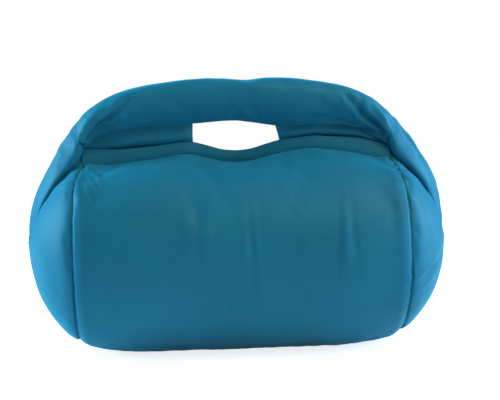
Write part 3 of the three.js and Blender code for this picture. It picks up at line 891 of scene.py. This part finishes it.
def fabric_material(name, deep, light, sheen=0.5):
    """Smooth knitted microfibre: fine wales and courses, faint tone changes and a satin sheen."""
    material = bpy.data.materials.new(name)
    material.use_nodes = True
    tree = material.node_tree
    shader = tree.nodes["Principled BSDF"]
    where = node(tree, "ShaderNodeTexCoord", (-1400, 0))
    tone = node(tree, "ShaderNodeTexNoise", (-900, 300), **{"Scale": 14.0, "Detail": 4.0})
    streak_space = node(tree, "ShaderNodeMapping", (-1150, 60))
    streak_space.inputs["Scale"].default_value = (260, 260, 7)
    streak = node(tree, "ShaderNodeTexNoise", (-900, 60), **{"Scale": 1.0, "Detail": 2.0})
    mix_tone = node(tree, "ShaderNodeMath", (-650, 200), operation="MULTIPLY_ADD")
    mix_tone.inputs[1].default_value = 0.12
    share = node(tree, "ShaderNodeMapRange", (-450, 200), **{"From Min": 0.0, "From Max": 1.1})
    colour = node(tree, "ShaderNodeMix", (-250, 200), data_type="RGBA")
    colour.inputs[6].default_value = (*deep, 1)
    colour.inputs[7].default_value = (*light, 1)
    wales = node(tree, "ShaderNodeTexWave", (-900, -200), bands_direction="X")
    wales.inputs["Scale"].default_value = 420.0
    wales.inputs["Distortion"].default_value = 0.6
    courses = node(tree, "ShaderNodeTexWave", (-900, -480), bands_direction="Z")
    courses.inputs["Scale"].default_value = 520.0
    courses.inputs["Distortion"].default_value = 0.6
    knit = node(tree, "ShaderNodeMath", (-650, -300), operation="MULTIPLY")
    relief = node(tree, "ShaderNodeBump", (-250, -300), **{"Strength": 0.18, "Distance": 0.0003})
    rough = node(tree, "ShaderNodeMapRange", (-250, -60), **{"To Min": 0.46, "To Max": 0.6})
    link = tree.links.new
    for texture in (tone, wales, courses):
        link(where.outputs["Object"], texture.inputs["Vector"])
    link(where.outputs["Object"], streak_space.inputs["Vector"])
    link(streak_space.outputs["Vector"], streak.inputs["Vector"])
    link(streak.outputs["Fac"], mix_tone.inputs[0])
    link(tone.outputs["Fac"], mix_tone.inputs[2])
    link(mix_tone.outputs[0], share.inputs["Value"])
    link(share.outputs["Result"], colour.inputs["Factor"])
    link(colour.outputs[2], shader.inputs["Base Color"])
    link(wales.outputs["Fac"], knit.inputs[0])
    link(courses.outputs["Fac"], knit.inputs[1])
    link(knit.outputs[0], relief.inputs["Height"])
    link(knit.outputs[0], rough.inputs["Value"])
    link(rough.outputs["Result"], shader.inputs["Roughness"])
    link(relief.outputs["Normal"], shader.inputs["Normal"])
    shader.inputs["Sheen Weight"].default_value = sheen
    shader.inputs["Sheen Roughness"].default_value = 0.35
    shader.inputs["Sheen Tint"].default_value = (0.08, 0.62, 1.0, 1)
    shader.inputs["Specular IOR Level"].default_value = 0.12
    return material


def weave_material(name, colour, thread=900.0, rough=0.75):
    """A plain woven tape or lining: two crossed thread waves over a faint tone change."""
    material = bpy.data.materials.new(name)
    material.use_nodes = True
    tree = material.node_tree
    shader = tree.nodes["Principled BSDF"]
    where = node(tree, "ShaderNodeTexCoord", (-1200, 0))
    warp = node(tree, "ShaderNodeTexWave", (-900, 100), bands_direction="X")
    weft = node(tree, "ShaderNodeTexWave", (-900, -200), bands_direction="Z")
    warp.inputs["Scale"].default_value = thread
    weft.inputs["Scale"].default_value = thread
    cross = node(tree, "ShaderNodeMath", (-650, -50), operation="MULTIPLY")
    tone = node(tree, "ShaderNodeTexNoise", (-900, 400), **{"Scale": 60.0, "Detail": 3.0})
    shade = node(tree, "ShaderNodeMix", (-300, 200), data_type="RGBA")
    shade.inputs[6].default_value = (*[c * 0.8 for c in colour], 1)
    shade.inputs[7].default_value = (*colour, 1)
    relief = node(tree, "ShaderNodeBump", (-300, -200), **{"Strength": 0.4, "Distance": 0.0002})
    link = tree.links.new
    for texture in (warp, weft, tone):
        link(where.outputs["Object"], texture.inputs["Vector"])
    link(warp.outputs["Fac"], cross.inputs[0])
    link(weft.outputs["Fac"], cross.inputs[1])
    link(tone.outputs["Fac"], shade.inputs["Factor"])
    link(shade.outputs[2], shader.inputs["Base Color"])
    link(cross.outputs[0], relief.inputs["Height"])
    link(relief.outputs["Normal"], shader.inputs["Normal"])
    shader.inputs["Roughness"].default_value = rough
    shader.inputs["Sheen Weight"].default_value = 0.15
    return material


def metal_material(name, colour):
    """Nickel plate, rubbed a little brighter and duller in patches."""
    material = bpy.data.materials.new(name)
    material.use_nodes = True
    tree = material.node_tree
    shader = tree.nodes["Principled BSDF"]
    where = node(tree, "ShaderNodeTexCoord", (-900, 0))
    wear = node(tree, "ShaderNodeTexNoise", (-650, 0), **{"Scale": 900.0, "Detail": 5.0})
    rough = node(tree, "ShaderNodeMapRange", (-350, 0), **{"To Min": 0.18, "To Max": 0.42})
    relief = node(tree, "ShaderNodeBump", (-350, -250), **{"Strength": 0.1, "Distance": 0.0001})
    link = tree.links.new
    link(where.outputs["Object"], wear.inputs["Vector"])
    link(wear.outputs["Fac"], rough.inputs["Value"])
    link(wear.outputs["Fac"], relief.inputs["Height"])
    link(rough.outputs["Result"], shader.inputs["Roughness"])
    link(relief.outputs["Normal"], shader.inputs["Normal"])
    shader.inputs["Base Color"].default_value = (*colour, 1)
    shader.inputs["Metallic"].default_value = 1.0
    return material


def bead_material(name):
    """Packed foam beads, each a little mound in the bump, with painted shade that darkens each bead from its
    middle to the rim where it meets the next.
    """
    material = bpy.data.materials.new(name)
    material.use_nodes = True
    tree = material.node_tree
    shader = tree.nodes["Principled BSDF"]
    where = node(tree, "ShaderNodeTexCoord", (-900, 0))
    cells = node(tree, "ShaderNodeTexVoronoi", (-650, 0))
    cells.inputs["Scale"].default_value = 700.0
    # painted shade: the grey-white darkens from each bead's middle to its rim, between the beads
    bead_rim_shade = node(tree, "ShaderNodeMapRange", (-350, 150), **{"To Min": 0.95, "To Max": 0.72})
    relief = node(tree, "ShaderNodeBump", (-350, -200), **{"Strength": 0.6, "Distance": 0.0006})
    relief.invert = True
    link = tree.links.new
    link(where.outputs["Object"], cells.inputs["Vector"])
    link(cells.outputs["Distance"], bead_rim_shade.inputs["Value"])
    link(cells.outputs["Distance"], relief.inputs["Height"])
    link(bead_rim_shade.outputs["Result"], shader.inputs["Base Color"])
    link(relief.outputs["Normal"], shader.inputs["Normal"])
    shader.inputs["Roughness"].default_value = 0.8
    return material


def floor_material(name):
    """White studio paint with a painted glow: it emits light that brightens away from the pillow until it
    meets the white backdrop. The glow is strong on camera rays and faint on other rays, where it lights the
    pillow from below like bounce light.
    """
    material = bpy.data.materials.new(name)
    material.use_nodes = True
    tree = material.node_tree
    shader = tree.nodes["Principled BSDF"]
    where = node(tree, "ShaderNodeTexCoord", (-1100, 0))
    far = node(tree, "ShaderNodeVectorMath", (-850, 0), operation="LENGTH")
    glow = node(
        tree, "ShaderNodeMapRange", (-600, 0),
        **{"From Min": 0.2, "From Max": 0.6, "To Min": 0.8, "To Max": 1.0},
    )
    ray = node(tree, "ShaderNodeLightPath", (-850, 350))
    # painted glow: full on camera rays and 0.12 on other rays, which lights the pillow from below as bounce
    # light would
    least = node(tree, "ShaderNodeMath", (-600, 350), operation="MAXIMUM")
    least.inputs[1].default_value = 0.12
    seen = node(tree, "ShaderNodeMath", (-350, 100), operation="MULTIPLY")
    speckle = node(tree, "ShaderNodeTexNoise", (-850, -250), **{"Scale": 35.0, "Detail": 3.0})
    tone = node(tree, "ShaderNodeMapRange", (-600, -250), **{"To Min": 0.84, "To Max": 0.9})
    link = tree.links.new
    link(where.outputs["Object"], far.inputs[0])
    link(far.outputs["Value"], glow.inputs["Value"])
    link(where.outputs["Object"], speckle.inputs["Vector"])
    link(speckle.outputs["Fac"], tone.inputs["Value"])
    link(tone.outputs["Result"], shader.inputs["Base Color"])
    link(glow.outputs["Result"], seen.inputs[0])
    link(ray.outputs["Is Camera Ray"], least.inputs[0])
    link(least.outputs[0], seen.inputs[1])
    link(seen.outputs[0], shader.inputs["Emission Strength"])
    shader.inputs["Emission Color"].default_value = (1, 1, 1, 1)
    shader.inputs["Roughness"].default_value = 0.9
    return material


def dress(piece, material):
    piece.data.materials.clear()
    piece.data.materials.append(material)
    return piece


# ---------------------------------------------------------------- camera, light and floor


FLOOR_HALF = 4000
CAMERA_AZIMUTH, CAMERA_ELEVATION, CAMERA_ROLL = -4, 6, -1.1  # degrees
CAMERA_DISTANCE = 1.3  # metres
CAMERA_TARGET = (0.0136, 0, 0.158)
CAMERA_LENS = 86.7


def studio():
    azimuth, elevation = math.radians(CAMERA_AZIMUTH), math.radians(CAMERA_ELEVATION)
    distance = CAMERA_DISTANCE
    target = Vector(CAMERA_TARGET)
    away = Vector((
        math.sin(azimuth) * math.cos(elevation),
        -math.cos(azimuth) * math.cos(elevation),
        math.sin(elevation),
    ))
    camera = bpy.data.objects.new("camera", bpy.data.cameras.new("camera"))
    camera.data.lens = CAMERA_LENS
    camera.location = target + away * distance
    camera.rotation_euler = (-away).to_track_quat("-Z", "Y").to_euler()
    camera.rotation_euler.rotate_axis("Z", math.radians(CAMERA_ROLL))
    bpy.context.scene.collection.objects.link(camera)
    bpy.context.scene.camera = camera

    middle = (0, 0, 0.15)
    lamp("left_window", (-1.5, 0.25, 0.65), middle, 1.0, 42, (0.36, 0.86, 1.0))
    lamp("right_window", (1.5, 0.15, 0.6), middle, 1.2, 33, (0.36, 0.74, 1.0))
    lamp("ceiling", (0.8, -0.55, 1.65), middle, 0.9, 14, (1.0, 1.0, 0.74))
    lamp("front", (1.0, -1.35, 1.2), middle, 0.9, 6, (1.0, 1.0, 0.75))

    world = bpy.data.worlds.new("studio")
    bpy.context.scene.world = world
    world.use_nodes = True
    tree = world.node_tree
    dim = tree.nodes["Background"]
    dim.inputs["Color"].default_value = (0.93, 0.98, 1, 1)
    dim.inputs["Strength"].default_value = 0.03
    white = node(tree, "ShaderNodeBackground", (0, -200), **{"Strength": 1.0})
    ray = node(tree, "ShaderNodeLightPath", (0, 300))
    pick = node(tree, "ShaderNodeMixShader", (250, 0))
    tree.links.new(ray.outputs["Is Camera Ray"], pick.inputs[0])
    tree.links.new(dim.outputs[0], pick.inputs[1])
    tree.links.new(white.outputs[0], pick.inputs[2])
    tree.links.new(pick.outputs[0], tree.nodes["World Output"].inputs["Surface"])
    white.inputs["Color"].default_value = (1, 1, 1, 1)
    bpy.context.scene.view_settings.view_transform = "Standard"

    far = FLOOR_HALF
    corners = [(-far, -far, 0), (far, -far, 0), (far, far, 0), (-far, far, 0)]
    floor = mesh_piece("floor", corners, [(0, 1, 2, 3)])
    dress(floor, floor_material("floor_paint"))


def lamp(name, place, target, size, power, colour):
    light = bpy.data.lights.new(name, "AREA")
    light.shape = "DISK"
    light.size = size
    light.energy = power
    light.color = colour
    holder = bpy.data.objects.new(name, light)
    holder.location = place
    holder.rotation_euler = (Vector(target) - Vector(place)).to_track_quat("-Z", "Y").to_euler()
    holder.visible_camera = False
    bpy.context.scene.collection.objects.link(holder)


# ---------------------------------------------------------------- the pillow


def declare(piece, material, slot, *nodes):
    """Gives a piece its material and hides the CAD nodes it stands for."""
    dress(piece, material)
    if nodes:
        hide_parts(*nodes)
    return piece


def build():
    teal = fabric_material("teal_microfibre", (0.008, 0.13, 0.24), (0.016, 0.20, 0.34))
    lining = weave_material("white_lining", (0.70, 0.71, 0.71))
    tape = weave_material("zip_tape_weave", (0.003, 0.14, 0.24), thread=1400.0)
    nylon = weave_material("zip_coil_nylon", (0.003, 0.13, 0.22), thread=300.0, rough=0.4)
    nickel = metal_material("nickel", (0.66, 0.65, 0.62))

    liner = declare(inner_shape("inner_bag", 4.5), lining, "lining", "inner_liner")
    fill = declare(inner_shape("bead_mass", 6.5), bead_material("foam_beads"), "bead_fill", "bead_fill")
    for piece in (liner, fill):
        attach(piece, "roll")

    roll = roll_mesh()
    swell_roll(roll)
    roll = subdivide(roll)
    wrinkle_roll(roll)
    for panel, name in zip(split_panels(roll), PANELS):
        declare(panel, teal, "cover_fabric", name)
        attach(panel, "roll")

    handle = declare(handle_roll(), teal, "cover_fabric", "handle_sleeve", "handle_core")
    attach(handle, "handle")

    for side, name in ((-1, "left"), (1, "right")):
        piece = declare(lobe(side), teal, "cover_fabric", f"end_lobe_{name}", f"lobe_wadding_{name}")
        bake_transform(piece)

    for face, face_name in ((-1, "front"), (1, "back")):
        for side, side_name in ((-1, "left"), (1, "right")):
            layer = declare(web_layer(face, side), teal, "cover_fabric", f"web_{face_name}_{side_name}")
            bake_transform(layer)
        band = declare(hem_band(face), teal, "cover_fabric", f"hem_band_{face_name}")
        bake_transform(band)

    for side, name in ((-1, "upper"), (1, "lower")):
        dress(bpy.data.objects[f"zip_tape_{name}"], tape)
        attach(declare(zip_coil(side), nylon, "zip_coil", f"zip_coil_{name}"), "roll")
    for name in ("zip_stop_closed_end", "zip_stop_open_end"):
        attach(declare(softened(name, name + "_crimp", 0.5), nickel, "zip_metal", name), "roll")
    slider = softened("zip_slider", "zip_slider_cast", 0.2)
    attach(declare(slider, nickel, "zip_metal", "zip_slider"), "slider")
    pull = softened("zip_pull", "zip_pull_tab", 0.3)
    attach(declare(pull, nickel, "zip_metal", "zip_pull"), "pull")
    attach(declare(zip_stitching(), nylon, "cover_fabric"), "roll")
    label = declare(care_label(), lining, "lining", "care_label")
    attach(label, "roll")


studio()
build()
